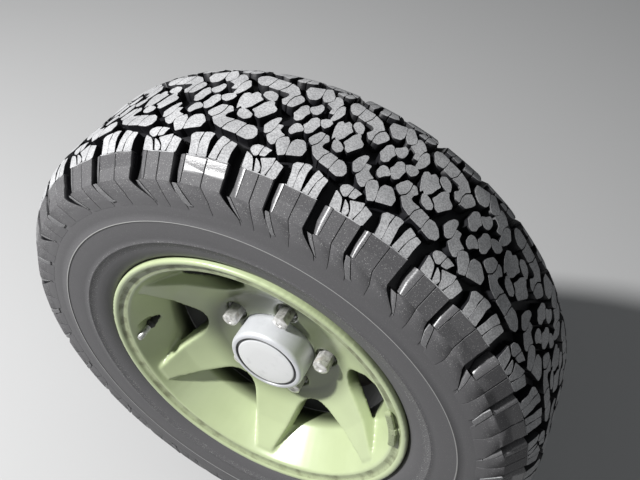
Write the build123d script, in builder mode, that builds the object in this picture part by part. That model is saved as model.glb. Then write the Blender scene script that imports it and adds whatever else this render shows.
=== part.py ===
from build123d import *
import math
import os

# Front wheel of a small 4x4 on its hub, brake disc and spindle, in millimetres.
# The wheel spins about Y and its street side faces -Y. The origin is the centre of
# the spindle flange's inner face, which bolts to the steering knuckle. A profile
# point is (radius, distance from the origin towards the street side).

# Spindle, the fixed stub axle
spindle_flange_r = 62.0
spindle_flange_t = 12.0
spindle_bolt_pcd = 96.0
spindle_bolt_count = 4
spindle_bolt_hole_r = 5.25
spindle_bore_r = 12.0
spindle_r = 24.0
spindle_end_gap = 5.0
running_gap = 0.05

# Hub, with its five studs
hub_face = 60.0
hub_start_gap = 5.0
hub_flange_r = 84.0
hub_flange_t = 10.0
hub_body_r = 46.0
hub_nose_r = 45.0
hub_nose_out = 38.0
hub_cover_t = 6.0
stud_r = 6.0

# Brake disc
disc_room = 12.0
disc_t = 10.0
disc_hat_r = 88.0
disc_hat_wall = 7.0
disc_face_t = 7.0
disc_start = 18.0
disc_bore_gap = 0.3

# Wheel bolting
wheel_pcd = 139.7
wheel_bolt_count = 5
wheel_bolt_start = 6.0
nut_flats = 20.0
nut_out = 18.3
nut_chamfer = 2.0
seat_gap = 0.3
lug_hole_r = 7.5
lug_pocket_r = 15.0
lug_pocket_depth = 6.0

# Wheel rim, 15 inch by 7 inch. A set is a depth behind the street flange's plane,
# and an in or an out is a distance from the bead seat's radius.
rim_offset = 10.0
rim_half_w = 100.0
bead_r = 189.7
flange_out = 17.6
flange_t = 11.1
lip_out = 11.8
rim_wall = 7.0
well_in = 25.7
well_set = 62.0
well_w = 20.0
slope_end_set = 60.0
groove_out = 6.3
ridge_in = 2.7
ridge_set = 5.5

# Wheel centre, spokes and windows
pad_r = 89.0
pad_t = 17.0
spoke_bend_in = 45.7
spoke_bend_set = 42.5
spoke_tip_in = 9.7
spoke_tip_set = 14.0
spoke_t = 24.0
window_count = 6
window_level_set = 62.5
window_apex_r = 102.0
window_half_angle = 34.0
window_corner_r = 31.7
window_draft = 21.0

# Tyre, 215/75 R15
tyre_r = 353.0
side_bulge = 8.8
crown_in = 46.8
shoulder_drop = 13.0
shoulder_in = 27.3
lug_foot_drop = 38.5
side_rise = 29.7
bead_play = 0.1
tread_t = 27.0
side_t = 29.8
shoulder_groove_w = 9.0
shoulder_groove_in = 63.8
cut_past = 12.0
lug_face_half_w = 36.0
first_groove_angle = 15.0
inner_groove_share = 0.57
pitch_weights = [
    11.0, 11.5, 10.5, 10.0, 8.5, 8.5, 7.0, 8.5, 10.0, 10.0, 10.5, 11.5,
    10.5, 10.0, 8.5, 10.0, 11.0, 11.5, 10.5, 10.0, 8.5, 8.5, 10.0, 10.0,
    11.5, 11.0, 10.0, 8.5, 10.0, 10.5, 11.5, 11.5, 10.5, 10.0, 8.5, 10.0,
]

# Centre cap
cap_out = 34.75
cap_r = 52.0
cap_corner = 4.0
cap_wall = 3.0
cap_play = 0.1
cap_foot_h = 9.0

# Valve
valve_angle = 180.0
valve_in = 17.2
valve_set = 33.0
valve_pocket_r = 9.5
valve_hole_r = 5.8
valve_base_r = 8.0
valve_base_h = 3.0
valve_stem_r = 4.2
valve_stem_h = 14.0
valve_cap_r = 4.9
valve_cap_h = 13.0

# Clip-on balance weight
weight_angle = 7.5
weight_arc = 21.0
weight_depth = 5.5
weight_h = 6.0

# Places along the axle that follow from the sizes
centre = hub_face - rim_offset
street = centre + rim_half_w
inboard = centre - rim_half_w
hub_start = spindle_flange_t + hub_start_gap
hub_end = hub_face + hub_nose_out
hub_bore_end = hub_end - hub_cover_t
spindle_end = hub_bore_end - spindle_end_gap
flange_back = hub_face - hub_flange_t
disc_back = flange_back - disc_face_t
pad_face = hub_face + pad_t
pocket_floor = pad_face - lug_pocket_depth
nut_front = pad_face + nut_out
cap_front = pad_face + cap_out
cap_base = pad_face - cap_foot_h
bead_face = street - flange_t
inner_bead_face = inboard + flange_t
valve_seat = street - valve_set
well_start = street - well_set
valve_inner = well_start

# Radii and half widths that follow from the sizes
flange_r = bead_r + flange_out
lip_r = bead_r + lip_out
groove_r = bead_r + groove_out
ridge_r = bead_r - ridge_in
well_r = bead_r - well_in
slope_end_r = well_r - rim_wall
spoke_bend_r = bead_r - spoke_bend_in
spoke_tip_r = bead_r - spoke_tip_in
valve_r = bead_r - valve_in
disc_r = slope_end_r - disc_room
side_in_r = flange_r + side_rise
shoulder_r = tyre_r - shoulder_drop
lug_foot_r = tyre_r - lug_foot_drop
casing_r = tyre_r - tread_t
side_half_w = rim_half_w + side_bulge
crown_half_w = side_half_w - crown_in
shoulder_half_w = side_half_w - shoulder_in
casing_half_w = side_half_w - side_t
shoulder_groove_end = side_half_w - shoulder_groove_in
valve_spot = (
    valve_r * math.cos(math.radians(valve_angle)),
    valve_r * math.sin(math.radians(valve_angle)),
)


def turned(points):
    # One turned solid from (radius, outward distance) points
    with BuildSketch(Plane.XY) as profile:
        with BuildLine():
            Polyline([(r, -s) for r, s in points], close=True)
        make_face()
    with BuildPart() as solid:
        add(profile.sketch)
        revolve(axis=Axis.Y)
    return solid.part


def face_plane(s):
    # Plane across the spin axis, seen from the street side
    return Plane.XZ.offset(s)


# The five studs and nuts stand on one circle
bolt_circle = PolarLocations(wheel_pcd / 2, wheel_bolt_count, start_angle=wheel_bolt_start)
bolt_spots = [(place.position.X, place.position.Y) for place in bolt_circle.local_locations]

with BuildPart() as spindle:
    add(
        turned(
            [
                (spindle_bore_r, 0.0),
                (spindle_flange_r, 0.0),
                (spindle_flange_r, spindle_flange_t),
                (spindle_r, spindle_flange_t),
                (spindle_r, spindle_end),
                (spindle_bore_r, spindle_end),
            ]
        )
    )
    with BuildSketch(Plane.XZ):
        with PolarLocations(spindle_bolt_pcd / 2, spindle_bolt_count):
            Circle(spindle_bolt_hole_r)
    extrude(amount=spindle_flange_t, mode=Mode.SUBTRACT)
spindle.part.label = "spindle"

with BuildPart() as hub:
    add(
        turned(
            [
                (spindle_r + running_gap, hub_start),
                (hub_body_r, hub_start),
                (hub_body_r, flange_back),
                (hub_flange_r, flange_back),
                (hub_flange_r, hub_face),
                (hub_nose_r, hub_face),
                (hub_nose_r, hub_end),
                (0.0, hub_end),
                (0.0, hub_bore_end),
                (spindle_r + running_gap, hub_bore_end),
            ]
        )
    )
    with BuildSketch(face_plane(hub_face)):
        with Locations(*bolt_spots):
            Circle(stud_r)
    extrude(amount=pocket_floor - hub_face - seat_gap)
hub.part.label = "hub"

with BuildPart() as brake_disc:
    add(
        turned(
            [
                (hub_body_r + disc_bore_gap, flange_back),
                (hub_body_r + disc_bore_gap, disc_back),
                (disc_hat_r - disc_hat_wall, disc_back),
                (disc_hat_r - disc_hat_wall, disc_start),
                (disc_r, disc_start),
                (disc_r, disc_start + disc_t),
                (disc_hat_r, disc_start + disc_t),
                (disc_hat_r, flange_back),
            ]
        )
    )
brake_disc.part.label = "brake_disc"

wheel_nuts = []
for index, spot in enumerate(bolt_spots):
    with BuildPart() as wheel_nut:
        with BuildSketch(face_plane(pocket_floor)):
            with Locations(spot):
                RegularPolygon(nut_flats / 2, 6, major_radius=False)
        extrude(amount=nut_front - pocket_floor)
        chamfer(wheel_nut.faces().sort_by(Axis.Y)[0].edges(), nut_chamfer)
    wheel_nut.part.label = "wheel_nut_" + str(index + 1)
    wheel_nuts.append(wheel_nut.part)

# Barrel section: across the lip, along the tyre's side, then back along the inside
barrel = [
    (lip_r, street),
    (flange_r, street),
    (flange_r, bead_face),
    (bead_r, bead_face),
    (bead_r, well_start),
    (well_r, well_start),
    (well_r, well_start - well_w),
    (bead_r, well_start - well_w),
    (bead_r, inner_bead_face),
    (flange_r, inner_bead_face),
    (flange_r, inboard),
    (bead_r - rim_wall, inboard),
    (bead_r - rim_wall, well_start - well_w - rim_wall),
    (slope_end_r, well_start - well_w - rim_wall),
    (slope_end_r, street - slope_end_set),
    (ridge_r, street - ridge_set),
    (groove_r, street - ridge_set),
]

with BuildPart() as wheel_rim:
    # Centre bowl: the bolting pad and the sloping spoke face
    add(
        turned(
            [
                (cap_r + cap_play, hub_face),
                (cap_r + cap_play, pad_face),
                (pad_r, pad_face),
                (spoke_bend_r, street - spoke_bend_set),
                (spoke_tip_r, street - spoke_tip_set),
                (spoke_tip_r, street - spoke_tip_set - spoke_t),
                (pad_r + spoke_t / 2, hub_face),
            ]
        )
    )
    # Windows between the spokes, drafted like the casting
    half_angle = math.radians(window_half_angle)
    window_run = street - hub_face + spoke_t / 2
    growth = window_level_set * math.tan(math.radians(window_draft))
    apex = window_apex_r - window_corner_r * (1 / math.sin(half_angle) - 1)
    apex = apex - growth / math.sin(half_angle)
    reach = (flange_r + growth - apex) * math.tan(half_angle)
    with BuildPart(mode=Mode.PRIVATE) as window_tool:
        with BuildSketch(face_plane(street)) as window:
            with BuildLine():
                Polyline(
                    (0, apex), (reach, flange_r + growth), (-reach, flange_r + growth), close=True
                )
            make_face()
            fillet(window.vertices().sort_by(Axis.Y)[0], window_corner_r + growth)
        extrude(amount=-window_run, taper=window_draft)
    for turn in range(window_count):
        angle = 90.0 - turn * 360.0 / window_count
        add(Rotation(0, angle, 0) * window_tool.part, mode=Mode.SUBTRACT)
    add(turned(barrel))
    # Pockets and holes for the five nuts and studs
    with BuildSketch(face_plane(pocket_floor)):
        with Locations(*bolt_spots):
            Circle(lug_pocket_r)
    extrude(amount=lug_pocket_depth + lug_pocket_r, mode=Mode.SUBTRACT)
    with BuildSketch(face_plane(hub_face)):
        with Locations(*bolt_spots):
            Circle(lug_hole_r)
    extrude(amount=pocket_floor - hub_face, mode=Mode.SUBTRACT)
    # Seat and hole of the valve, in the sloping wall
    with BuildSketch(face_plane(valve_seat)):
        with Locations(valve_spot):
            Circle(valve_pocket_r)
    extrude(amount=valve_set - ridge_set, mode=Mode.SUBTRACT)
    with BuildSketch(face_plane(valve_inner)):
        with Locations(valve_spot):
            Circle(valve_hole_r)
    extrude(amount=valve_seat - valve_inner, mode=Mode.SUBTRACT)
wheel_rim.part.label = "wheel_rim"

# One side of the tyre's section, from the casing down to the bead and up the side
tyre_side = [
    (casing_r, casing_half_w),
    (bead_r, casing_half_w),
    (bead_r, rim_half_w - flange_t),
    (flange_r + bead_play, rim_half_w - flange_t),
    (side_in_r, side_half_w),
    (tyre_r, side_half_w),
]

with BuildPart() as tyre:
    street_half = [(r, centre + w) for r, w in tyre_side]
    inner_half = [(r, centre - w) for r, w in reversed(tyre_side)]
    add(turned(street_half + inner_half))
    # Each lug's two flat faces are cut across the shoulder, then the groove beside it
    with BuildPart(mode=Mode.PRIVATE) as lug_face_tool:
        with BuildSketch(Plane.XY):
            with BuildLine():
                Polyline(
                    (lug_foot_r, -(centre + side_half_w)),
                    (shoulder_r, -(centre + shoulder_half_w)),
                    (tyre_r, -(centre + crown_half_w)),
                    (tyre_r + cut_past, -(centre + crown_half_w)),
                    (tyre_r + cut_past, -(centre + side_half_w + cut_past)),
                    (lug_foot_r, -(centre + side_half_w + cut_past)),
                    close=True,
                )
            make_face()
        extrude(amount=lug_face_half_w, both=True)
    with BuildPart(mode=Mode.PRIVATE) as groove_tool:
        with BuildSketch(Plane.XY):
            with BuildLine():
                Polyline(
                    (lug_foot_r, -(centre + side_half_w + cut_past)),
                    (lug_foot_r, -(centre + side_half_w)),
                    (tyre_r, -(centre + shoulder_groove_end)),
                    (tyre_r + cut_past, -(centre + shoulder_groove_end)),
                    (tyre_r + cut_past, -(centre + side_half_w + cut_past)),
                    close=True,
                )
            make_face()
        extrude(amount=shoulder_groove_w / 2, both=True)
    # The street side's grooves, and the inner side's between them
    groove_angles = [first_groove_angle]
    for weight in pitch_weights:
        groove_angles.append(groove_angles[-1] + weight * 360.0 / sum(pitch_weights))
    inner_angles = []
    for start, end in zip(groove_angles, groove_angles[1:]):
        inner_angles.append(start + inner_groove_share * (end - start))
    inner_angles.append(inner_angles[0] + 360.0)
    middle = face_plane(centre)
    lug_faces = []
    grooves = []
    for start, end in zip(groove_angles, groove_angles[1:]):
        lug_faces.append(Rotation(0, -(start + end) / 2, 0) * lug_face_tool.part)
        grooves.append(Rotation(0, -start, 0) * groove_tool.part)
    for start, end in zip(inner_angles, inner_angles[1:]):
        face_cut = lug_face_tool.part.mirror(middle)
        groove_cut = groove_tool.part.mirror(middle)
        lug_faces.append(Rotation(0, -(start + end) / 2, 0) * face_cut)
        grooves.append(Rotation(0, -start, 0) * groove_cut)
    add(lug_faces, mode=Mode.SUBTRACT)
    add(grooves, mode=Mode.SUBTRACT)
tyre.part.label = "tyre"

with BuildPart() as centre_cap:
    add(
        turned(
            [
                (cap_r, cap_base),
                (cap_r, cap_front - cap_corner),
                (cap_r - cap_corner, cap_front),
                (0, cap_front),
                (0, cap_front - cap_wall),
                (cap_r - cap_corner, cap_front - cap_wall),
                (cap_r - cap_corner, cap_base),
            ]
        )
    )
centre_cap.part.label = "centre_cap"

with BuildPart() as valve_stem:
    with BuildSketch(face_plane(valve_inner)):
        with Locations(valve_spot):
            Circle(valve_hole_r - cap_play)
    extrude(amount=valve_seat - valve_inner)
    with BuildSketch(face_plane(valve_seat)):
        with Locations(valve_spot):
            Circle(valve_base_r)
    extrude(amount=valve_base_h)
    with BuildSketch(face_plane(valve_seat + valve_base_h)):
        with Locations(valve_spot):
            Circle(valve_stem_r)
    extrude(amount=valve_stem_h)
valve_stem.part.label = "valve_stem"

with BuildPart() as valve_cap:
    with BuildSketch(face_plane(valve_seat + valve_base_h + valve_stem_h)):
        with Locations(valve_spot):
            Circle(valve_cap_r)
    extrude(amount=valve_cap_h)
valve_cap.part.label = "valve_cap"

with BuildPart() as balance_weight:
    with BuildSketch(Plane.XY):
        with BuildLine():
            Polyline(
                (ridge_r - weight_h / 2, -(street - ridge_set)),
                (ridge_r - weight_h / 2, -(street - ridge_set + weight_depth)),
                (ridge_r + weight_h, -(street - ridge_set + weight_depth)),
                (ridge_r + weight_h, -(street - ridge_set)),
                close=True,
            )
        make_face()
    revolve(axis=Axis.Y, revolution_arc=weight_arc)
balance_weight.part = Rotation(0, -weight_angle - weight_arc / 2, 0) * balance_weight.part
balance_weight.part.label = "balance_weight"

os.makedirs("parts", exist_ok=True)
export_step(spindle.part, "parts/spindle.step")
export_step(hub.part, "parts/hub.step")
export_step(brake_disc.part, "parts/brake_disc.step")
for nut in wheel_nuts:
    export_step(nut, "parts/" + nut.label + ".step")
export_step(wheel_rim.part, "parts/wheel_rim.step")
export_step(tyre.part, "parts/tyre.step")
export_step(centre_cap.part, "parts/centre_cap.step")
export_step(valve_stem.part, "parts/valve_stem.step")
export_step(valve_cap.part, "parts/valve_cap.step")
export_step(balance_weight.part, "parts/balance_weight.step")
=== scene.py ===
import math

import bmesh
import bpy
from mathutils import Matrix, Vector


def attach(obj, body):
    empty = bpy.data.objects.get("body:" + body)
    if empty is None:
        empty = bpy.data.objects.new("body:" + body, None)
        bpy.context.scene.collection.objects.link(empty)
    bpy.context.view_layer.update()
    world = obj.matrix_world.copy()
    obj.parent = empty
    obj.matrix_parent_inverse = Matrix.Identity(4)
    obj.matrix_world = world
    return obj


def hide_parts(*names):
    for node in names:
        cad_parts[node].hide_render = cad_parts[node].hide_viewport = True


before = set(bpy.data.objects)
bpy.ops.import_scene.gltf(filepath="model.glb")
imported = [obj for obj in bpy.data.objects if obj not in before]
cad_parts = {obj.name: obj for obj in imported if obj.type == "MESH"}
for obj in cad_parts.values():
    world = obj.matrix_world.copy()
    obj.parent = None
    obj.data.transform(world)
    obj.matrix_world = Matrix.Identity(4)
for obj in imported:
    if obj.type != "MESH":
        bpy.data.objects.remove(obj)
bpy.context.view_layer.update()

# The studio: one small hard lamp from the upper left, a weaker soft one from the right, and
# a matt floor that is pale to the camera and darker in the light it throws back at the wheel.
# The camera stands at the photograph's angle, close to the wheel.
floor_height = -0.353
floor_reach = 40.0
floor_colour = (0.52, 0.52, 0.52, 1.0)
floor_shade = (0.14, 0.14, 0.14, 1.0)
sky_colour = (0.93, 0.97, 1.0, 1.0)
sky_light = 0.125
lamp_aim = Vector((0.0, -0.1, 0.0))
# Each lamp's name, place, width in metres and power in watts
lamps = [
    ("upper_left_lamp", Vector((-1.68, -1.42, 2.17)), 0.24, 152.0),
    ("right_lamp", Vector((2.4, -1.6, 1.0)), 1.6, 6.0),
]
camera_place = (0.2984, -0.576, 0.7689)
camera_direction = Vector((-0.304, 0.640, -0.706))
camera_lens = 40.55


class Wire:
    """One output socket of a node tree. Sums and products of wires add Math nodes."""

    def __init__(self, tree, socket=None):
        self.tree = tree
        self.socket = socket

    def node(self, kind, settings, sockets, output=0):
        """Adds a node: its settings first, then the values or links of its sockets."""
        made = self.tree.nodes.new(kind)
        for name, value in settings.items():
            setattr(made, name, value)
        for name, value in sockets.items():
            if isinstance(value, Wire):
                self.tree.links.new(value.socket, made.inputs[name])
            else:
                made.inputs[name].default_value = value
        return Wire(self.tree, made.outputs[output] if made.outputs else None)

    def part(self, name):
        """Another output of the same node."""
        return Wire(self.tree, self.socket.node.outputs[name])

    def math(self, operation, first, second=0.0):
        return self.node("ShaderNodeMath", {"operation": operation}, {0: first, 1: second})

    def __add__(self, other):
        return self.math("ADD", self, other)

    def __sub__(self, other):
        return self.math("SUBTRACT", self, other)

    def __rsub__(self, other):
        return self.math("SUBTRACT", other, self)

    def __mul__(self, other):
        return self.math("MULTIPLY", self, other)

    def __pow__(self, other):
        return self.math("POWER", self, other)

    __radd__ = __add__
    __rmul__ = __mul__

    def between(self, low, high):
        """0 below low and 1 above high, with a smooth step between them."""
        settings = {"interpolation_type": "SMOOTHSTEP"}
        return self.node("ShaderNodeMapRange", settings, {0: self, 1: low, 2: high})

    def band(self, start, end, edge):
        """1 from start to end, fading to 0 over an edge beyond each."""
        return self.between(start - edge, start) * (1.0 - self.between(end, end + edge))

    def blend(self, low, high):
        """The colour low where this wire is 0, and high where it is 1."""
        return self.node("ShaderNodeMix", {"data_type": "RGBA"}, {0: self, 6: low, 7: high}, 2)

    def axis(self, name):
        """The X, Y or Z of this wire, which is a place."""
        return self.node("ShaderNodeSeparateXYZ", {}, {"Vector": self}, name)

    def axle_distance(self):
        """How far this wire, which is a place, lies from the wheel's axle."""
        x, z = self.axis("X"), self.axis("Z")
        return (x * x + z * z) ** 0.5

    def noise(self, scale, detail):
        """Noise on this wire, which is a place."""
        sockets = {"Vector": self, "Scale": scale, "Detail": detail}
        return self.node("ShaderNodeTexNoise", {}, sockets)

    def bump(self, strength, distance):
        """A normal from this wire as a height."""
        sockets = {"Strength": strength, "Distance": distance, "Height": self}
        return self.node("ShaderNodeBump", {}, sockets)


def new_material(name, look):
    """A material whose look(wire) gives the values and links of its one shader."""
    material = bpy.data.materials.new(name)
    material.use_nodes = True
    material.node_tree.nodes.clear()
    wire = Wire(material.node_tree)
    shader = wire.node("ShaderNodeBsdfPrincipled", {}, look(wire))
    wire.node("ShaderNodeOutputMaterial", {}, {"Surface": shader})
    return material


def object_place(wire):
    return wire.node("ShaderNodeTexCoord", {}, {}, "Object")


def linked(name, data):
    """A new object in the scene that holds the data."""
    holder = bpy.data.objects.new(name, data)
    bpy.context.scene.collection.objects.link(holder)
    return holder


def new_piece(name, mesh, material, crease):
    """A shown object with that mesh, smooth but for edges sharper than the crease."""
    mesh.polygons.foreach_set("use_smooth", [True] * len(mesh.polygons))
    mesh.set_sharp_from_angle(angle=math.radians(crease))
    mesh.materials.clear()
    mesh.materials.append(material)
    return linked(name, mesh)


def floor_look(wire):
    rays = wire.node("ShaderNodeLightPath", {}, {}, "Is Camera Ray")
    seen = rays.math("MAXIMUM", rays, rays.part("Is Glossy Ray"))
    seen = seen.math("MAXIMUM", seen, rays.part("Is Transmission Ray"))
    return {"Base Color": seen.blend(floor_shade, floor_colour), "Roughness": 0.9}


floor_mesh = bpy.data.meshes.new("floor")
square = ((-1, -1), (1, -1), (1, 1), (-1, 1))
floor_corners = [(x * floor_reach, y * floor_reach, floor_height) for x, y in square]
floor_mesh.from_pydata(floor_corners, [], [(0, 1, 2, 3)])
floor = new_piece("floor", floor_mesh, new_material("pale_floor", floor_look), 35.0)

sky = bpy.data.worlds.new("sky")
bpy.context.scene.world = sky
sky.use_nodes = True
sky.node_tree.nodes.clear()
sky_wire = Wire(sky.node_tree)
glow = sky_wire.node("ShaderNodeBackground", {}, {"Color": sky_colour, "Strength": sky_light})
sky_wire.node("ShaderNodeOutputWorld", {}, {"Surface": glow})

for name, place, width, power in lamps:
    lamp = linked(name, bpy.data.lights.new(name, "AREA"))
    lamp.data.shape = "DISK"
    lamp.data.size = width
    lamp.data.energy = power
    lamp.location = place
    lamp.rotation_euler = (lamp_aim - place).to_track_quat("-Z", "Y").to_euler()

camera = linked("camera", bpy.data.cameras.new("camera"))
camera.data.lens = camera_lens
camera.data.sensor_width = 36.0
camera.location = camera_place
camera.rotation_euler = camera_direction.to_track_quat("-Z", "Y").to_euler()
bpy.context.scene.camera = camera
bpy.context.scene.view_settings.view_transform = "Standard"

# The tyre's casing: black rubber moulded over the two beads, with a satin side wall, a thin
# ring line half way up it and the floor that the tread stands on. Dust greys what sticks out.
# The floor and the blocks' walls are painted near black: painted shade in the grooves.
mm = 0.001
merge_distance = 1e-6
tyre_middle = -0.050
tyre_steps = 216
side_wall_end = (0.2995, 0.3060)
# The ring line's rib is painted pale between these radii: a painted highlight along it
painted_highlight_ring = (0.2696, 0.2702)
worn_ring = (0.232, 0.238)
# The rest of the casing's outline, in mm: radius and half width, down the side, round the
# bead and back up the inside
bead_and_side = [
    (290.0, 107.5), (280.0, 107.9), (271.6, 107.9), (270.9, 108.7), (269.5, 108.7),
    (268.8, 107.8), (256.0, 107.5), (246.0, 106.8), (240.0, 105.9), (239.2, 106.4),
    (238.2, 106.3), (237.4, 105.4), (228.0, 103.6), (221.0, 101.4), (214.5, 98.2),
    (210.0, 94.6), (207.8, 91.5), (207.4, 88.9), (190.0, 88.7), (190.0, 79.5),
    (200.0, 77.5), (222.0, 84.0), (250.0, 91.0), (280.0, 92.0), (300.0, 86.0), (318.0, 68.0),
    (327.0, 45.0), (329.0, 0.0),
]
# Each row of the tread's section: the place across the tread (100 in the middle and 0 above
# the rim's flange), radius and half width on the outside, both on the groove's floor, and
# how far the surface leans over, from 0 facing the road to 90 facing sideways
tread_section = [
    (100.0, 353.0, 0.0, 341.5, 0.0, 0.0),
    (60.0, 353.0, 40.0, 341.5, 38.5, 0.0),
    (52.0, 352.7, 48.0, 341.3, 46.0, 6.0),
    (40.0, 350.9, 60.0, 339.8, 56.5, 14.0),
    (29.0, 346.6, 71.0, 336.0, 66.0, 26.0),
    (18.5, 340.0, 81.5, 330.0, 74.5, 38.0),
    (7.9, 330.0, 92.1, 321.0, 84.5, 44.0),
    (-2.6, 320.0, 102.6, 313.5, 95.5, 52.0),
    (-11.6, 311.0, 105.4, 307.5, 101.5, 74.0),
    (-22.6, 300.0, 107.2, 299.0, 106.0, 82.0),
    (-32.6, 290.0, 107.6, 290.0, 107.5, 88.0),
    (-50.6, 272.0, 107.95, 272.0, 107.9, 90.0),
]


def rubber_look(wire):
    place = object_place(wire)
    radius = place.axle_distance()
    dust = wire.node("ShaderNodeAttribute", {"attribute_name": "dust"}, {}, "Fac")
    patches = place.noise(28.0, 4.0)
    grain = place.noise(620.0, 3.0)
    gloss = wire.node("ShaderNodeAttribute", {"attribute_name": "gloss"}, {}, "Fac")
    side = 1.0 - radius.between(*side_wall_end)
    # Where dust is under 0.3 (block walls, the tops' bevelled rims, the tread's floor) and off the
    # side wall, the rubber is painted near black: painted shade in the grooves
    outside_painted_shade = side.math("MAXIMUM", side, dust.between(0.3, 0.5))
    wall = outside_painted_shade.blend((0.006, 0.006, 0.008, 1.0), (0.097, 0.095, 0.099, 1.0))
    worn = patches.between(0.3, 0.7).blend((0.40, 0.402, 0.41, 1.0), (0.56, 0.562, 0.57, 1.0))
    dusty = dust.between(0.55, 1.0)
    speckle = grain.between(0.36, 0.64)
    body = (dusty * (0.55 + speckle * 0.5)).blend(wall, worn)
    # The ring line is painted pale through the specks below: a painted highlight on its rib
    line = radius.band(*painted_highlight_ring, 0.0006)
    grit = place.noise(1100.0, 1.0).between(0.66, 0.71)
    ring = radius.band(*worn_ring, 0.006)
    lugs = outside_painted_shade * (1.0 - side)
    specks = outside_painted_shade * grit * (0.10 + ring * 0.8 + lugs * 0.40 + dusty * 0.35) + line * side * 0.5
    rough = 0.48 + patches * 0.08 + lugs * 0.20 + dusty * 0.20 - gloss * 0.42
    relief = grain * 0.6 + patches * 0.3
    return {
        "Base Color": specks.blend(body, (0.62, 0.62, 0.60, 1.0)),
        "Roughness": rough,
        "Specular IOR Level": 0.45,
        "Normal": relief.bump(0.35, 0.0006),
    }


def plain(shape, name):
    """The shape as a mesh."""
    mesh = bpy.data.meshes.new(name)
    shape.to_mesh(mesh)
    shape.free()
    return mesh


def sealed(shape, name):
    """The shape as a mesh, with its doubles merged and its faces outwards."""
    bmesh.ops.remove_doubles(shape, verts=shape.verts, dist=merge_distance)
    bmesh.ops.recalc_face_normals(shape, faces=shape.faces)
    return plain(shape, name)


def add_wall(shape, lower, upper):
    """Faces between two closed rings of vertices."""
    for corners in zip(lower, lower[1:] + lower[:1], upper[1:] + upper[:1], upper):
        shape.faces.new(corners)


def turned(outline, middle, steps, ends, radius_at=None):
    """A mesh turned about a line along Y through middle (x, z), from (size, y) points. Its ends
    are "joined", left "open", or the first one is "filled". The size is the radius, unless
    radius_at(size, y, step) gives one for each step round."""
    shape = bmesh.new()
    rows = []
    for size, y in outline:
        row = []
        for step in range(steps):
            angle = step * math.pi / (steps // 2)
            r = radius_at(size, y, step) if radius_at else size
            x, z = middle[0] + r * math.cos(angle), middle[1] + r * math.sin(angle)
            row.append(shape.verts.new((x, y, z)))
        rows.append(row)
    for lower, upper in zip(rows, rows[1:]):
        add_wall(shape, lower, upper)
    if ends == "joined":
        add_wall(shape, rows[-1], rows[0])
    elif ends == "filled":
        shape.faces.new(rows[0])
    return sealed(shape, "turned")


rubber = new_material("tyre_rubber", rubber_look)
casing_side = [(row[3], row[4]) for row in tread_section[:-2]] + bead_and_side
casing_street = [(r * mm, tyre_middle - w * mm) for r, w in casing_side[1:-1]]
casing_inner = [(r * mm, tyre_middle + w * mm) for r, w in reversed(casing_side[1:-1])]
casing_mesh = turned(casing_street + casing_inner, (0.0, 0.0), tyre_steps, "joined")
casing = new_piece("tyre_casing", casing_mesh, rubber, 50.0)

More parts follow.
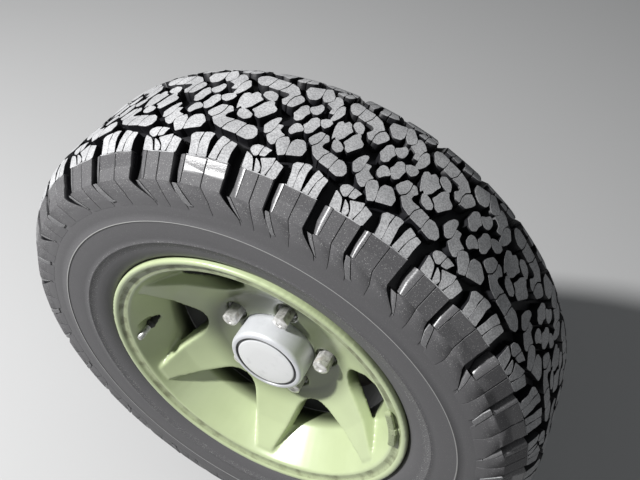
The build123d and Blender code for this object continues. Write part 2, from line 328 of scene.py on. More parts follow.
# The tyre's tread and shoulders: rubber blocks about 11 mm deep, cut by fine slits. One pattern
# of two shoulder lugs and the blocks beside them repeats 18 times, at lengths that differ.
# The inner half is the street half turned about a point. Points are (pitches, place across).
pitch_length = 60.0
pitch_weights = [
    11.0, 11.5, 10.5, 10.0, 8.5, 8.5, 7.0, 8.5, 10.0, 10.0, 10.5, 11.5,
    10.5, 10.0, 8.5, 10.0, 11.0, 11.5, 10.5, 10.0, 8.5, 8.5, 10.0, 10.0,
    11.5, 11.0, 10.0, 8.5, 10.0, 10.5, 11.5, 11.5, 10.5, 10.0, 8.5, 10.0,
]
first_mark = 15.0
spare_marks = 2
tread_middle = 100.0
turn_about = (0.715, tread_middle)
block_corner = 0.8
groove_depth = 11.0
wall_foot = -1.06
crown_blocks = {
    "a_big": [
        (0.78, 61.2), (0.82, 66.6), (0.94, 68.8), (1.00, 66.6), (1.12, 57.9), (1.11, 49.0),
        (1.00, 46.8), (0.91, 45.1), (0.83, 43.2), (0.81, 49.0), (0.79, 54.0),
    ],
    "a_slim": [
        (0.58, 63.4), (0.66, 65.6), (0.70, 62.9), (0.74, 60.1), (0.77, 53.4), (0.79, 48.4),
        (0.80, 42.6), (0.70, 39.6), (0.64, 44.0), (0.55, 51.2), (0.52, 57.9),
    ],
    "a_leg": [
        (0.33, 78.4), (0.43, 79.0), (0.43, 71.2), (0.49, 68.4), (0.58, 66.2), (0.53, 61.8),
        (0.50, 56.8), (0.52, 51.0), (0.47, 48.8), (0.38, 51.4), (0.28, 58.4), (0.32, 63.4),
        (0.34, 70.1),
    ],
    "a_split": [
        (0.11, 71.2), (0.15, 80.1), (0.22, 87.3), (0.28, 89.0), (0.31, 86.8), (0.31, 79.0),
        (0.32, 72.3), (0.30, 65.1), (0.25, 61.0), (0.20, 61.2),
    ],
    "a_far": [
        (0.57, 84.6), (0.60, 88.4), (0.67, 89.6), (0.75, 86.8), (0.80, 84.0), (0.80, 80.7),
        (0.72, 76.8), (0.66, 71.0), (0.59, 73.4), (0.56, 77.9),
    ],
    "a_tall": [
        (0.74, 90.1), (0.78, 95.7), (0.79, 102.9), (0.86, 107.3), (0.93, 106.2), (0.96, 101.8),
        (1.01, 97.7), (0.99, 92.9), (0.97, 84.6), (0.90, 79.9), (0.84, 81.0), (0.81, 85.4),
    ],
    "a_upper": [
        (0.96, 106.2), (1.03, 110.1), (1.15, 112.1), (1.23, 108.1), (1.21, 101.8),
        (1.14, 96.8), (1.04, 98.7), (0.99, 102.1),
    ],
    "b_end": [
        (1.81, 59.0), (1.84, 65.1), (1.95, 65.7), (2.05, 61.8), (2.12, 54.6), (2.10, 49.0),
        (2.00, 45.7), (1.89, 46.8), (1.79, 48.2),
    ],
    "b_mid": [
        (1.60, 68.4), (1.81, 66.2), (1.78, 59.0), (1.77, 49.0), (1.64, 50.1), (1.50, 51.4),
        (1.52, 60.1),
    ],
    "b_leg": [
        (1.27, 89.2), (1.34, 88.8), (1.42, 81.8), (1.36, 76.8), (1.35, 71.8), (1.40, 69.2),
        (1.57, 68.7), (1.49, 61.2), (1.47, 52.1), (1.30, 56.6), (1.17, 66.2), (1.25, 71.8),
        (1.28, 80.1),
    ],
    "b_split": [
        (1.00, 75.1), (1.04, 81.2), (1.13, 89.6), (1.24, 89.6), (1.25, 80.7), (1.22, 73.4),
        (1.14, 67.7), (1.04, 71.2),
    ],
    "b_far": [
        (1.51, 81.2), (1.49, 86.8), (1.55, 89.0), (1.65, 87.3), (1.77, 82.3), (1.78, 76.8),
        (1.70, 72.8), (1.58, 75.1), (1.53, 77.9),
    ],
    "b_tall": [
        (1.70, 90.1), (1.75, 96.6), (1.79, 104.6), (1.89, 112.3), (1.95, 109.0), (1.97, 105.1),
        (2.08, 100.1), (2.09, 95.4), (2.00, 87.3), (1.91, 79.4), (1.82, 81.8), (1.78, 86.8),
    ],
    "b_upper": [
        (1.52, 102.3), (1.52, 109.9), (1.63, 112.3), (1.69, 107.9), (1.65, 101.8), (1.58, 98.4),
    ],
    "b_lean": [
        (1.32, 113.4), (1.39, 117.3), (1.47, 114.6), (1.48, 103.4), (1.46, 91.2), (1.43, 87.3),
        (1.39, 93.4), (1.33, 104.6),
    ],
}
street_half_only = ("a_upper", "b_upper", "b_lean")
shoulder_blocks = {
    "a_top_1": [
        (0.17, 37.1), (0.19, 40.7), (0.27, 43.7), (0.39, 43.7), (0.37, 37.1), (0.36, 32.7),
        (0.30, 31.4), (0.20, 34.7),
    ],
    "a_top_2": [(0.41, 43.7), (0.57, 42.1), (0.53, 38.6), (0.50, 34.0), (0.39, 33.0), (0.39, 37.1)],
    "a_top_3": [(0.14, 33.4), (0.27, 30.4), (0.32, 27.3), (0.39, 18.9), (0.17, 18.9)],
    "a_top_4": [(0.36, 30.0), (0.45, 27.3), (0.53, 22.8), (0.52, 18.9), (0.43, 18.9)],
    "a_top_5": [
        (0.44, 31.0), (0.57, 33.4), (0.70, 36.0), (0.71, 29.2), (0.65, 18.9), (0.57, 18.9),
        (0.54, 24.8),
    ],
    "a_top_6": [(0.73, 34.2), (0.91, 31.0), (0.87, 18.9), (0.68, 18.9), (0.72, 28.3)],
    "b_top_1": [
        (1.05, 36.9), (1.11, 40.3), (1.26, 42.3), (1.24, 34.2), (1.27, 26.8), (1.29, 18.9),
        (1.14, 18.9), (1.11, 29.2),
    ],
    "b_top_2": [
        (1.28, 42.6), (1.37, 43.7), (1.46, 42.6), (1.43, 35.2), (1.46, 23.3), (1.48, 18.9),
        (1.30, 18.9), (1.27, 32.2),
    ],
    "b_top_3": [
        (1.61, 42.1), (1.77, 38.9), (1.71, 32.2), (1.67, 23.3), (1.67, 18.9), (1.52, 18.9),
        (1.55, 27.3), (1.57, 35.7),
    ],
    "b_top_4": [(1.79, 38.5), (1.91, 37.3), (1.88, 27.3), (1.88, 18.9), (1.69, 18.9), (1.72, 31.2)],
}
# A lug's face runs down into the band on the side wall, and one slit divides it
lug_faces = {
    "a_face_left": [
        (0.275, 18.4), (0.545, 18.4), (0.552, -1.5), (0.70, -22.0), (0.75, -31.5), (0.50, -31.5),
        (0.42, -23.6), (0.30, -14.0), (0.15, -3.4), (0.20, -2.6), (0.275, -2.4),
    ],
    "a_face_right": [
        (0.560, 18.4), (0.855, 18.4), (0.865, -3.1), (0.93, -10.0), (1.13, -23.2),
        (1.20, -31.5), (0.765, -31.5), (0.715, -22.0), (0.567, -1.7),
    ],
    "b_face_left": [
        (1.10, 18.4), (1.51, 18.4), (1.505, 7.2), (1.512, -2.0), (1.66, -16.0), (1.74, -31.5),
        (1.40, -31.5), (1.29, -23.4), (1.16, -13.0), (1.03, -3.4), (1.04, -2.6), (1.10, -2.4),
    ],
    "b_face_right": [
        (1.525, 18.4), (1.905, 18.4), (1.905, -3.1), (1.98, -8.0), (2.35, -23.6),
        (2.42, -31.5), (1.755, -31.5), (1.675, -16.0), (1.527, -2.2), (1.52, 7.0),
    ],
}
# Rounded cheeks from a crest down into a groove: crest line, foot line, fall, dust
lug_cheeks = [
    (
        [(0.262, 18.4), (0.262, 6.0), (0.262, -2.2)],
        [(0.075, 18.4), (0.08, 6.0), (0.15, -2.6)], 0.9, 0.62,
    ),
    (
        [(1.085, 18.4), (1.085, 6.0), (1.085, -2.2)],
        [(0.925, 17.5), (0.925, 6.0), (0.98, -2.6)], 0.9, 0.62,
    ),
    (
        [(0.138, -4.0), (0.288, -14.4), (0.405, -23.4)],
        [(0.02, -4.0), (0.185, -14.4), (0.385, -24.0)], 0.5, 0.66,
    ),
]
# How far a cheek has sunk, as a share of its fall, at shares of the way from crest to foot
cheek_curve = ((0.0, 0.0), (0.3, 0.03), (0.55, 0.13), (0.75, 0.32), (0.9, 0.62), (1.0, 1.0))
# What stands up from the lugs' faces: a ridge beside the second, the crests and one dot
side_lines = {
    "ridge": [
        (0.925, -3.2), (1.020, -3.2), (1.140, -13.0), (1.285, -24.0), (1.34, -25.0), (1.20, -26.2),
        (1.165, -24.5), (0.99, -12.0),
    ],
    "a_crest": [(0.275, 18.1), (0.855, 18.1), (0.855, 18.9), (0.275, 18.9)],
    "b_crest": [(1.10, 18.1), (1.905, 18.1), (1.905, 18.9), (1.10, 18.9)],
    "dot": [(0.40, -24.6), (0.425, -24.6), (0.425, -26.0), (0.40, -26.0)],
}


def rounded(corners, cut, steps):
    """The closed outline with a short curve for each corner."""
    made = []
    around = zip(corners[-1:] + corners[:-1], corners, corners[1:] + corners[:1])
    for before, corner, after in around:
        corner = Vector(corner)
        back = Vector(before) - corner
        ahead = Vector(after) - corner
        start = corner + back.normalized() * min(cut, 0.4 * back.length)
        end = corner + ahead.normalized() * min(cut, 0.4 * ahead.length)
        for step in range(steps + 1):
            k = step / steps
            made.append(start * (1 - k) ** 2 + corner * 2 * k * (1 - k) + end * k * k)
    return made


def moved_in(outline, distance):
    """The anticlockwise outline moved inwards by a distance."""
    made = []
    around = zip(outline[-1:] + outline[:-1], outline, outline[1:] + outline[:1])
    for before, point, after in around:
        along = (point - before).normalized() + (after - point).normalized()
        inwards = Vector((-along.y, along.x))
        inwards = inwards.normalized() if inwards.length > 1e-9 else Vector((0, 0))
        made.append(point + inwards * distance)
    return made


def add_block(cell, outline, edge, draft, dust, edge_dust, grow=0.0, scoop=0.0, lift=0.0):
    """One block, flat: a bevelled top, and walls down to just under the floor at -1."""
    flat = [(u * pitch_length, t) for u, t in outline]
    area = sum(a[0] * b[1] - b[0] * a[1] for a, b in zip(flat, flat[1:] + flat[:1]))
    flat = flat if area > 0 else flat[::-1]
    ring = moved_in(rounded(flat, block_corner, 1), -grow)
    layers = cell.verts.layers.float
    levels = [
        (moved_in(ring, edge), lift, dust, scoop),
        (ring, lift - edge / groove_depth, edge_dust, scoop),
        # The walls' feet get no dust, so the walls are painted near black: painted shade
        (moved_in(ring, -draft), wall_foot, 0.0, 0.0),
    ]
    rows = []
    for points, height, dusty, scooped in levels:
        row = []
        for point in points:
            vertex = cell.verts.new((point.x, point.y, height))
            vertex[layers["dust"]] = dusty
            vertex[layers["scoop"]] = scooped
            row.append(vertex)
        rows.append(row)
    cell.faces.new(rows[0])
    for upper, lower in zip(rows, rows[1:]):
        add_wall(cell, lower, upper)


def add_cheek(cell, crest, foot, fall, dust):
    """A rounded slope from a crest line to a foot line, with walls down to under the floor."""
    layers = cell.verts.layers.float
    rows = []
    for k, share in cheek_curve:
        row = []
        for start, end in zip(crest, foot):
            point = Vector(start).lerp(Vector(end), k)
            vertex = cell.verts.new((point.x * pitch_length, point.y, -fall * share))
            vertex[layers["dust"]] = dust
            vertex[layers["gloss"]] = 1.0
            row.append(vertex)
        rows.append(row)
    loop = rows[0] + [row[-1] for row in rows[1:]]
    loop += rows[-1][-2::-1] + [row[0] for row in rows[-2:0:-1]]
    area = sum(a.co.x * b.co.y - b.co.x * a.co.y for a, b in zip(loop, loop[1:] + loop[:1]))
    order = 1 if area > 0 else -1
    for upper, lower in zip(rows, rows[1:]):
        for a, b, c, d in zip(upper, upper[1:], lower[1:], lower):
            cell.faces.new((a, b, c, d)[::order])
    loop = loop[::order]
    under = [cell.verts.new((vertex.co.x, vertex.co.y, wall_foot)) for vertex in loop]
    add_wall(cell, under, loop)


def turned_about(points):
    """The points turned half way round onto the tyre's other half."""
    return [(2 * turn_about[0] - u, 2 * turn_about[1] - t) for u, t in points]


def on_street_half(across):
    """The place across the tread, or its twin where it lies on the inner half."""
    return min(across, 2 * tread_middle - across)


def on_tyre(across, height):
    """(y, radius) on the tyre of a place across the tread, 0 at the top and -1 on the floor.
    Above 0 the height is in millimetres."""
    side = -1.0 if across <= tread_middle else 1.0
    near = max(on_street_half(across), tread_section[-1][0])
    for upper, lower in zip(tread_section, tread_section[1:]):
        if near >= lower[0]:
            break
    k = (upper[0] - near) / (upper[0] - lower[0])
    row = [a + (b - a) * k for a, b in zip(upper, lower)]
    sunk = min(height, 0.0)
    lifted = max(height, 0.0)
    radius = row[1] - (row[3] - row[1]) * sunk + lifted * math.cos(math.radians(row[5]))
    width = row[2] - (row[4] - row[2]) * sunk + lifted * math.sin(math.radians(row[5]))
    return tyre_middle + side * width * mm, radius * mm


# The second lug's face is smooth. Its dip starts, is deepest and ends at these places across
face_dip = (12.5, 7.9, 5.4)
face_dip_depth = 0.06
smooth_face = (7.5, 17.5)
shoulder_bends = [16.9, 12.5, 5.4]
# A bend's cut takes corners that lie this close to it, in mm
bend_reach = 0.02


def share_of(value):
    """The value held between 0 and 1."""
    return min(max(value, 0.0), 1.0)


def new_cell(name, groups, bends, cheeks=()):
    """Two pitches of blocks: x in pitches, y and z the place across the tyre and the radius."""
    cell = bmesh.new()
    for layer in ("dust", "scoop", "gloss"):
        cell.verts.layers.float.new(layer)
    scoop_layer = cell.verts.layers.float["scoop"]
    gloss_layer = cell.verts.layers.float["gloss"]
    for outline, both_halves, settings in groups:
        add_block(cell, outline, **settings)
        if both_halves:
            add_block(cell, turned_about(outline), **settings)
    for crest, foot, fall, dust in cheeks:
        add_cheek(cell, crest, foot, fall, dust)
        add_cheek(cell, turned_about(crest), turned_about(foot), fall, dust)
    bends = [row[0] for row in tread_section[2:-1]] + bends
    for bend in bends + [2 * tread_middle - bend for bend in bends]:
        everything = cell.verts[:] + cell.edges[:] + cell.faces[:]
        bmesh.ops.bisect_plane(
            cell, geom=everything, plane_co=(0, bend, 0), plane_no=(0, 1, 0), dist=bend_reach
        )
    start, bottom, end = face_dip
    for vertex in cell.verts:
        across = on_street_half(vertex.co.y)
        risen = share_of((bottom - across) / (bottom - end))
        dip = share_of((start - across) / (start - bottom)) - risen
        y, radius = on_tyre(vertex.co.y, vertex.co.z - face_dip_depth * vertex[scoop_layer] * dip)
        if vertex[scoop_layer] > 0.5 and smooth_face[0] < across < smooth_face[1]:
            vertex[gloss_layer] = 1.0
        vertex.co = (vertex.co.x / pitch_length, y, radius)
    return linked(name, plain(cell, name))


def new_tree(name, inputs, output):
    """A tree of geometry nodes with those sockets, and its inputs' identifiers by name."""
    tree = bpy.data.node_groups.new(name, "GeometryNodeTree")
    names = {}
    for label, kind in inputs.items():
        socket = tree.interface.new_socket(label, in_out="INPUT", socket_type="NodeSocket" + kind)
        names[label] = socket.identifier
    tree.interface.new_socket(output, in_out="OUTPUT", socket_type="NodeSocketGeometry")
    return tree, names


def settled(holder):
    """The mesh that an object's modifiers make of it. The object goes."""
    graph = bpy.context.evaluated_depsgraph_get()
    mesh = bpy.data.meshes.new_from_object(holder.evaluated_get(graph))
    bpy.data.objects.remove(holder)
    return mesh


def made_by_tree(tree_and_names, points, values):
    """The mesh that a tree makes of some points, with its other inputs set to the values."""
    tree, names = tree_and_names
    holder = linked("points", points)
    modifier = holder.modifiers.new("tree", "NODES")
    modifier.node_group = tree
    for label, value in values.items():
        modifier[names[label]] = value
    return settled(holder)


def ring_tree():
    """Puts a cell on every second mark and bends the row of cells into a ring."""
    inputs = {
        "Marks": "Geometry", "Cell": "Object", "First Mark": "Int", "Last Mark": "Int",
        "Rubber": "Material",
    }
    tree, names = new_tree("tread_ring", inputs, "Tread")
    wire = Wire(tree)
    given = wire.node("NodeGroupInput", {}, {}, "Marks")
    index = wire.node("GeometryNodeInputIndex", {}, {})
    even = index.math("LESS_THAN", index.math("MODULO", index, 2.0), 0.5)
    after = index.math("GREATER_THAN", index, given.part("First Mark") - 0.5)
    before = index.math("LESS_THAN", index, given.part("Last Mark") + 0.5)
    cell = wire.node("GeometryNodeObjectInfo", {}, {"Object": given.part("Cell")}, "Geometry")
    sockets = {"Points": given, "Selection": even * after * before, "Instance": cell}
    row = wire.node("GeometryNodeInstanceOnPoints", {}, sockets)
    solid = wire.node("GeometryNodeRealizeInstances", {}, {"Geometry": row})
    place = wire.node("GeometryNodeInputPosition", {}, {})
    pitches, radius = place.axis("X"), place.axis("Z")
    angle = wire.node("GeometryNodeInputNamedAttribute", {"data_type": "FLOAT"}, {"Name": "angle"})
    mark = pitches.math("FLOOR", pitches)
    sampled = {"data_type": "FLOAT", "domain": "POINT"}
    sockets = {"Geometry": given, "Value": angle}
    start = wire.node("GeometryNodeSampleIndex", sampled, {**sockets, "Index": mark})
    end = wire.node("GeometryNodeSampleIndex", sampled, {**sockets, "Index": mark + 1.0})
    turn = start + (end - start) * (pitches - mark)
    x, z = radius * turn.math("COSINE", turn), radius * turn.math("SINE", turn)
    bent = wire.node("ShaderNodeCombineXYZ", {}, {"X": x, "Y": place.axis("Y"), "Z": z})
    ring = wire.node("GeometryNodeSetPosition", {}, {"Geometry": solid, "Position": bent})
    sockets = {"Geometry": ring, "Material": given.part("Rubber")}
    wire.node("NodeGroupOutput", {}, {"Tread": wire.node("GeometryNodeSetMaterial", {}, sockets)})
    return tree, names


# Marks run downwards in angle, with spare ones at each end for blocks that lean over
mark_angles = [first_mark]
for weight in pitch_weights:
    mark_angles.append(mark_angles[-1] + weight * 360.0 / sum(pitch_weights))
marks_before = [angle - 360.0 for angle in mark_angles[-1 - spare_marks:-1]]
marks_after = [angle + 360.0 for angle in mark_angles[1:1 + spare_marks]]
mark_angles = (marks_before + mark_angles + marks_after)[::-1]


def bent_round(name, cell, crease):
    """The ring of cells as one piece."""
    marks = bpy.data.meshes.new("marks")
    marks.from_pydata([(k, 0, 0) for k in range(len(mark_angles))], [], [])
    angles = marks.attributes.new("angle", "FLOAT", "POINT")
    angles.data.foreach_set("value", [math.radians(a) for a in mark_angles])
    values = {
        "Cell": cell, "First Mark": spare_marks, "Last Mark": len(pitch_weights), "Rubber": rubber,
    }
    mesh = made_by_tree(ring_tree(), marks, values)
    bpy.data.objects.remove(cell)
    return new_piece(name, mesh, rubber, crease)


crown_groups = []
for block, outline in crown_blocks.items():
    settings = {"edge": 0.3, "draft": 0.6, "dust": 1.0, "edge_dust": 0.15, "grow": 0.6}
    crown_groups.append((outline, block not in street_half_only, settings))
shoulder_groups = []
for outline in shoulder_blocks.values():
    settings = {"edge": 0.3, "draft": 0.3, "dust": 1.0, "edge_dust": 0.15, "grow": 0.35}
    shoulder_groups.append((outline, True, settings))
for face, outline in lug_faces.items():
    scooped = float(face[0] == "b")
    settings = {"edge": 0.4, "draft": 0.1, "dust": 0.5, "edge_dust": 0.5, "scoop": scooped}
    shoulder_groups.append((outline, True, settings))
# Crests, ridge and dot are painted paler than the faces: dust, and partly a painted highlight
for name, outline in side_lines.items():
    lift, dust = (0.15, 1.0) if name.endswith("crest") else (0.6, 0.67)
    settings = {"edge": 0.3, "draft": 0.1, "dust": dust, "edge_dust": 0.85, "lift": lift}
    shoulder_groups.append((outline, True, settings))
crown_cell = new_cell("crown", crown_groups, [])
shoulder_cell = new_cell("shoulders", shoulder_groups, shoulder_bends, lug_cheeks)
tread = bent_round("tyre_tread", crown_cell, 40.0)
shoulders = bent_round("tyre_shoulders", shoulder_cell, 40.0)
for piece in (casing, tread, shoulders):
    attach(piece, "wheel")
    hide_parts("tyre")

# The wheel rim: one casting of light alloy with six windows, sprayed a light olive green. Its
# edges are as soft as a casting's. Grit sits in the ring behind the lip.
casting_grid = 0.0021
casting_rounds = 8
casting_share = 0.42
dirt_ring = (0.1900, 0.1985)


def rim_look(wire):
    place = object_place(wire)
    across = place.axis("Y")
    cloud = place.noise(9.0, 3.0)
    peel = place.noise(420.0, 2.0)
    green = cloud.between(0.35, 0.65).blend((0.45, 0.52, 0.30, 1.0), (0.50, 0.575, 0.34, 1.0))
    ring = place.axle_distance().band(*dirt_ring, 0.0015)
    front = 1.0 - across.between(-0.146, -0.135)
    stain = place.noise(60.0, 5.0).between(0.42, 0.70)
    specks = place.noise(1100.0, 1.0).between(0.66, 0.71)
    dirt = ring * front * (0.30 + stain * 0.45 + specks * 0.4) + specks * stain * 0.10
    # Deep inside the casting, behind the spokes, the paint turns near black: painted shade in the
    # windows
    deep = across.between(-0.094, -0.070)
    body = deep.blend(dirt.blend(green, (0.10, 0.10, 0.055, 1.0)), (0.035, 0.042, 0.022, 1.0))
    return {
        "Base Color": body,
        "Roughness": 0.30 + cloud * 0.08 + dirt * 0.4,
        "Specular IOR Level": 0.5,
        "Coat Weight": 0.5 - dirt * 0.4,
        "Coat Roughness": 0.25,
        "Normal": (peel * 0.5 + specks * 0.8).bump(0.12, 0.0004),
    }


# A copy of the CAD solid gets even faces, which are laid back on it and then smoothed
rim_shape = bmesh.new()
rim_shape.from_mesh(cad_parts["wheel_rim"].data)
bmesh.ops.remove_doubles(rim_shape, verts=rim_shape.verts, dist=merge_distance)
soft_rim = linked("soft_rim", plain(rim_shape, "soft_rim"))
hard_rim = linked("hard_rim", soft_rim.data.copy())
even = soft_rim.modifiers.new("even", "REMESH")
even.mode = "VOXEL"
even.voxel_size = casting_grid
soft_rim.modifiers.new("onto", "SHRINKWRAP").target = hard_rim
soft = soft_rim.modifiers.new("soft", "SMOOTH")
soft.factor = 0.5
soft.iterations = casting_rounds
soft_rim.modifiers.new("thin", "DECIMATE").ratio = casting_share
rim_mesh = settled(soft_rim)
bpy.data.objects.remove(hard_rim)
green_paint = new_material("olive_green_paint", rim_look)
rim = new_piece("wheel_casting", rim_mesh, green_paint, 60.0)
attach(rim, "wheel")
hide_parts("wheel_rim")

# The five wheel nuts: zinc plated steel hexagons, 20 mm across the flats, each in its pocket
# of the casting. Their ends are turned to a cone, so each flat ends in a curved line.
nut_circle = 0.06985
nut_start = 6.0
nut_count = 5
nut_floor = -0.0712
nut_end = -0.0953
nut_half_flats = 0.0099
nut_steps = 48
# Where the corners are cut, and how much wider the end's cone gets over its height
nut_corner = 1.135
nut_cone_height = 0.0040
nut_cone_growth = 0.16
nut_turns = [0.35, 0.9, 0.1, 0.6, 0.75]


def zinc_look(wire):
    place = object_place(wire)
    patches = place.noise(160.0, 4.0)
    scratches = place.noise(700.0, 2.0)
    rust = place.noise(75.0, 5.0).between(0.55, 0.72)
    bright = patches.between(0.3, 0.7).blend((0.50, 0.49, 0.47, 1.0), (0.88, 0.87, 0.85, 1.0))
    return {
        "Base Color": (rust * 0.6).blend(bright, (0.26, 0.20, 0.14, 1.0)),
        "Metallic": 0.55 - rust * 0.3,
        "Roughness": 0.22 + patches * 0.16 + rust * 0.3,
        "Normal": (scratches + patches).bump(0.25, 0.0004),
    }


def nut_radius(share, y, step):
    """A hexagon with slightly cut corners, inside a cone near the nut's end."""
    off = (step * math.pi / (nut_steps // 2)) % (math.pi / 3) - math.pi / 6
    hexagon = min(nut_half_flats / math.cos(off), nut_half_flats * nut_corner)
    growth = max(y - nut_end, 0.0) / nut_cone_height * nut_cone_growth
    return min(hexagon, nut_half_flats * (1.0 + growth)) * share


nut_section = [
    (1.0, nut_floor), (1.0, nut_end + 0.0040), (1.0, nut_end + 0.0032), (1.0, nut_end + 0.0025),
    (1.0, nut_end + 0.0018), (1.0, nut_end + 0.0012), (0.93, nut_end + 0.0007),
    (0.87, nut_end + 0.0003), (0.74, nut_end), (0.46, nut_end), (0.42, nut_end + 0.0005),
    (0.0, nut_end + 0.0005),
]
nut = linked("nut", turned(nut_section, (0.0, 0.0), nut_steps, "filled", nut_radius))


def nut_tree():
    """Puts a nut on each stud, turned by the stud's own angle."""
    inputs = {"Studs": "Geometry", "Nut": "Object", "Zinc": "Material"}
    tree, names = new_tree("nut_circle", inputs, "Nuts")
    wire = Wire(tree)
    given = wire.node("NodeGroupInput", {}, {}, "Studs")
    shown = wire.node("GeometryNodeObjectInfo", {}, {"Object": given.part("Nut")}, "Geometry")
    turn = wire.node("GeometryNodeInputNamedAttribute", {"data_type": "FLOAT"}, {"Name": "turn"})
    turn = wire.node("ShaderNodeCombineXYZ", {}, {"Y": turn})
    sockets = {"Points": given, "Instance": shown, "Rotation": turn}
    row = wire.node("GeometryNodeInstanceOnPoints", {}, sockets)
    solid = wire.node("GeometryNodeRealizeInstances", {}, {"Geometry": row})
    sockets = {"Geometry": solid, "Material": given.part("Zinc")}
    wire.node("NodeGroupOutput", {}, {"Nuts": wire.node("GeometryNodeSetMaterial", {}, sockets)})
    return tree, names


zinc = new_material("zinc_plate", zinc_look)
studs = bpy.data.meshes.new("studs")
stud_angles = [math.radians(nut_start + k * 360.0 / nut_count) for k in range(nut_count)]
stud_places = [(nut_circle * math.cos(a), 0, nut_circle * math.sin(a)) for a in stud_angles]
studs.from_pydata(stud_places, [], [])
studs.attributes.new("turn", "FLOAT", "POINT").data.foreach_set("value", nut_turns)
nuts_mesh = made_by_tree(nut_tree(), studs, {"Nut": nut, "Zinc": zinc})
bpy.data.objects.remove(nut)
nuts = new_piece("wheel_nuts", nuts_mesh, zinc, 28.0)
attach(nuts, "wheel")
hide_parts(*["wheel_nut_" + str(k + 1) for k in range(nut_count)])

# The centre cap: a moulded cup, painted silver and pushed into the casting's bore. Its front
# has a rounded edge and a raised flat centre inside a narrow groove, left bare of any mark.
cap_front = -0.11175
cap_base = -0.0680
cap_steps = 96
cap_section = [
    (0.0490, cap_base), (0.0520, cap_base), (0.0520, cap_front + 0.0060),
    (0.0518, cap_front + 0.0042), (0.0512, cap_front + 0.0026), (0.0502, cap_front + 0.0013),
    (0.0489, cap_front + 0.0004), (0.0474, cap_front), (0.0446, cap_front + 0.0001),
    (0.0441, cap_front + 0.0006), (0.0438, cap_front + 0.0030), (0.0409, cap_front + 0.0030),
    (0.0406, cap_front + 0.0008), (0.0399, cap_front + 0.0003), (0.0388, cap_front + 0.0001),
    (0.0200, cap_front + 0.0001), (0.0, cap_front + 0.0001),
]
cap_inside = [
    (0.0, cap_front + 0.0045), (0.0460, cap_front + 0.0047), (0.0490, cap_front + 0.0080),
]


def cap_look(wire):
    place = object_place(wire)
    radius = place.axle_distance()
    cloud = place.noise(22.0, 4.0)
    flake = place.noise(1300.0, 1.0)
    groove = radius.between(0.0402, 0.0408) * (1.0 - radius.between(0.0439, 0.0444))
    # The groove is painted dark: painted shade in it. The dust noise greys the rest a little
    painted_groove_shade = groove * (1.0 - place.axis("Y").between(cap_front + 0.004, cap_front + 0.006))
    dust = place.noise(70.0, 5.0).between(0.55, 0.75)
    silver = cloud.between(0.3, 0.7).blend((0.64, 0.65, 0.68, 1.0), (0.72, 0.73, 0.76, 1.0))
    # The raised centre is painted paler than the rest: painted light, for the stronger light on the
    # cap's front
    centre = 1.0 - radius.between(0.0398, 0.0404)
    silver_and_painted_light = centre.blend(silver, (0.86, 0.865, 0.87, 1.0))
    body = (painted_groove_shade * 0.9 + dust * 0.12).blend(silver_and_painted_light, (0.10, 0.10, 0.10, 1.0))
    return {
        "Base Color": body,
        "Metallic": 0.25,
        "Roughness": 0.38 + dust * 0.15 + flake * 0.08,
        "Normal": (flake * 0.5 + cloud).bump(0.10, 0.0003),
    }


cap_mesh = turned(cap_section + cap_inside, (0.0, 0.0), cap_steps, "open")
cap = new_piece("centre_cap_cup", cap_mesh, new_material("silver_paint", cap_look), 40.0)
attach(cap, "wheel")
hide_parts("centre_cap")

# The valve: a black rubber body pulled through its hole in the casting, and a dull metal dust
# cap screwed over its end, with fine ribs on its side for the fingers.
valve_middle = (-0.1740, -0.006)
valve_seat = -0.117
valve_lean = (-0.25, -0.45)
lean_start = 0.0020
valve_body_steps = 32
valve_cap_steps = 72
rib_band = (valve_seat - 0.0213, valve_seat - 0.0101)
rib_spacing = 3
rib_height = 0.045
valve_body_section = [
    (0.0, -0.0885), (0.0056, -0.0885), (0.0056, valve_seat + 0.0006), (0.0064, valve_seat - 0.0001),
    (0.0066, valve_seat - 0.0014), (0.0062, valve_seat - 0.0026), (0.0054, valve_seat - 0.0036),
    (0.0047, valve_seat - 0.0050), (0.0042, valve_seat - 0.0056), (0.0038, valve_seat - 0.0060),
    (0.0034, valve_seat - 0.0064), (0.0034, valve_seat - 0.0080), (0.0, valve_seat - 0.0080),
]
valve_cap_section = [
    (0.0040, valve_seat - 0.0066), (0.0044, valve_seat - 0.0068), (0.0044, valve_seat - 0.0092),
    (0.0040, valve_seat - 0.0096), (0.0042, valve_seat - 0.0102), (0.0042, valve_seat - 0.0212),
    (0.0040, valve_seat - 0.0224), (0.0034, valve_seat - 0.0236), (0.0023, valve_seat - 0.0242),
    (0.0, valve_seat - 0.0244),
]


def leaned(mesh):
    """The mesh leaning over from the valve's seat, as a rubber valve sits."""
    for vertex in mesh.vertices:
        out = max(valve_seat - lean_start - vertex.co.y, 0.0)
        vertex.co.x += valve_lean[0] * out
        vertex.co.z += valve_lean[1] * out
    return mesh


def valve_rubber_look(wire):
    place = object_place(wire)
    patches = place.noise(240.0, 4.0)
    return {
        "Base Color": patches.blend((0.020, 0.020, 0.020, 1.0), (0.050, 0.050, 0.048, 1.0)),
        "Roughness": 0.55 + patches * 0.2,
        "Normal": patches.bump(0.3, 0.0003),
    }


def valve_metal_look(wire):
    place = object_place(wire)
    patches = place.noise(300.0, 4.0)
    tarnish = patches.between(0.45, 0.7)
    return {
        "Base Color": tarnish.blend((0.52, 0.53, 0.52, 1.0), (0.25, 0.24, 0.21, 1.0)),
        "Metallic": 0.7,
        "Roughness": 0.38 + tarnish * 0.25,
        "Normal": patches.bump(0.2, 0.0002),
    }


def dust_cap_radius(size, y, step):
    """The cap's size, with ribs at even steps of its long straight side."""
    ribbed = rib_band[0] < y < rib_band[1] and step % rib_spacing == 0
    return size * (1.0 + (rib_height if ribbed else 0.0))


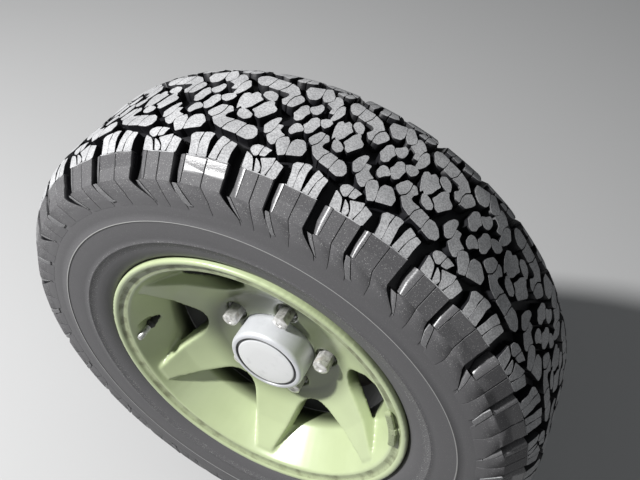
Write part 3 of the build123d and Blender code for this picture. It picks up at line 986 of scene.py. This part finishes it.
valve_rubber = new_material("valve_rubber", valve_rubber_look)
valve_metal = new_material("valve_metal", valve_metal_look)
body_mesh = turned(valve_body_section, valve_middle, valve_body_steps, "open")
valve_body = new_piece("valve_body", leaned(body_mesh), valve_rubber, 40.0)
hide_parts("valve_stem")
dust_cap_mesh = turned(
    valve_cap_section, valve_middle, valve_cap_steps, "filled", dust_cap_radius
)
valve_cap = new_piece("valve_dust_cap", leaned(dust_cap_mesh), valve_metal, 30.0)
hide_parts("valve_cap")
for piece in (valve_body, valve_cap):
    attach(piece, "wheel")

# The balance weight: a cast lead bar, bent to the rim's ring, painted with the wheel and held
# by a spring steel clip in its middle that hooks over the ring.
weight_angles = (-3.0, 18.0)
weight_radii = (0.18405, 0.1929)
weight_faces = (-0.1445, -0.1498)
weight_corner = 0.0016
# What a bar keeps of its depth at its very end, and how far its height narrows as it ends
bar_end = 0.2
bar_narrowing = 0.4
weight_taper = 0.006
weight_steps = 40
clip_angles = (5.6, 9.4)
clip_taper = 0.0008
clip_steps = 8


def weight_look(wire):
    place = object_place(wire)
    chips = place.noise(420.0, 4.0).between(0.56, 0.66)
    stain = place.noise(60.0, 4.0)
    green = stain.blend((0.29, 0.34, 0.19, 1.0), (0.41, 0.47, 0.27, 1.0))
    return {
        "Base Color": (chips * 0.8).blend(green, (0.16, 0.15, 0.12, 1.0)),
        "Roughness": 0.38 + chips * 0.3,
        "Normal": (stain + chips * -0.6).bump(0.3, 0.0005),
    }


def arc_bar(angles, corners, steps, taper):
    """A bar along an arc of the wheel: corners are (radius, y), and its ends are rounded off."""
    shape = bmesh.new()
    middle_r = sum(r for r, y in corners) / len(corners)
    middle_y = corners[0][1]
    rows = []
    for step in range(steps + 1):
        k = step / steps
        angle = math.radians(angles[0] + (angles[1] - angles[0]) * k)
        end = min(k, 1 - k) * abs(math.radians(angles[1] - angles[0])) * middle_r
        share = max(math.sqrt(1 - (1 - min(end / taper, 1.0)) ** 2), bar_end)
        row = []
        for r, y in corners:
            here = middle_r + (r - middle_r) * (1.0 - bar_narrowing * (1.0 - share))
            depth = middle_y + (y - middle_y) * share
            row.append(shape.verts.new((here * math.cos(angle), depth, here * math.sin(angle))))
        rows.append(row)
    for lower, upper in zip(rows, rows[1:]):
        add_wall(shape, lower, upper)
    shape.faces.new(rows[0])
    shape.faces.new(rows[-1])
    return sealed(shape, "arc_bar")


weight_paint = new_material("painted_lead", weight_look)
back, front = weight_faces
inner_r, outer_r = weight_radii
bar_corners = [(inner_r, back), (outer_r, back), (outer_r, front), (inner_r, front)]
bar_corners = [tuple(point) for point in rounded(bar_corners, weight_corner, 3)]
bar_mesh = arc_bar(weight_angles, bar_corners, weight_steps, weight_taper)
weight_bar = new_piece("weight_bar", bar_mesh, weight_paint, 40.0)
clip_corners = [
    (0.1868, -0.1448), (0.1962, -0.1448), (0.1985, -0.1469), (0.1985, -0.1476),
    (0.1955, -0.1462), (0.1935, -0.1500), (0.1880, -0.1500), (0.1868, -0.1494),
]
clip_mesh = arc_bar(clip_angles, clip_corners, clip_steps, clip_taper)
weight_clip = new_piece("weight_clip", clip_mesh, weight_paint, 30.0)
for piece in (weight_bar, weight_clip):
    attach(piece, "wheel")
    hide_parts("balance_weight")

# The hub, brake disc and spindle stand behind the casting: machined and cast iron on a steel stub
# axle. The hub and disc are painted near black: painted shade behind the windows. They keep
# their CAD shapes.


def iron_look(dark, light, ring_scale, roughness):
    """Iron turned on a lathe: fine rings about the axle, darker and lighter in patches."""

    def look(wire):
        place = object_place(wire)
        wave = place.axle_distance() * ring_scale
        rings = wave.math("SINE", wave)
        patches = place.noise(45.0, 5.0)
        rust = place.noise(90.0, 6.0).between(0.52, 0.70)
        body = patches.between(0.3, 0.7).blend(dark, light)
        return {
            "Base Color": (rust * 0.5).blend(body, (0.10, 0.055, 0.03, 1.0)),
            "Metallic": 0.6 - rust * 0.4,
            "Roughness": roughness + rust * 0.25,
            "Normal": (rings * 0.15 + patches).bump(0.25, 0.0004),
        }

    return look


# Each one's node, material, darkest and lightest colour, the lathe rings' scale and roughness
bare_metal = [
    # The hub's and disc's colours are painted near black: painted shade behind the windows
    ("hub", "hub_iron", (0.035, 0.034, 0.032, 1.0), (0.09, 0.085, 0.08, 1.0), 5200.0, 0.5),
    ("brake_disc", "disc_iron", (0.03, 0.029, 0.028, 1.0), (0.075, 0.07, 0.066, 1.0), 7800.0, 0.36),
    ("spindle", "spindle_steel", (0.16, 0.16, 0.155, 1.0), (0.30, 0.30, 0.29, 1.0), 6100.0, 0.34),
]
for node, name, dark, light, ring_scale, roughness in bare_metal:
    metal = new_material(name, iron_look(dark, light, ring_scale, roughness))
    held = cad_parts[node]
    if not held.material_slots:
        held.data.materials.append(None)
    for place in held.material_slots:
        place.material = metal
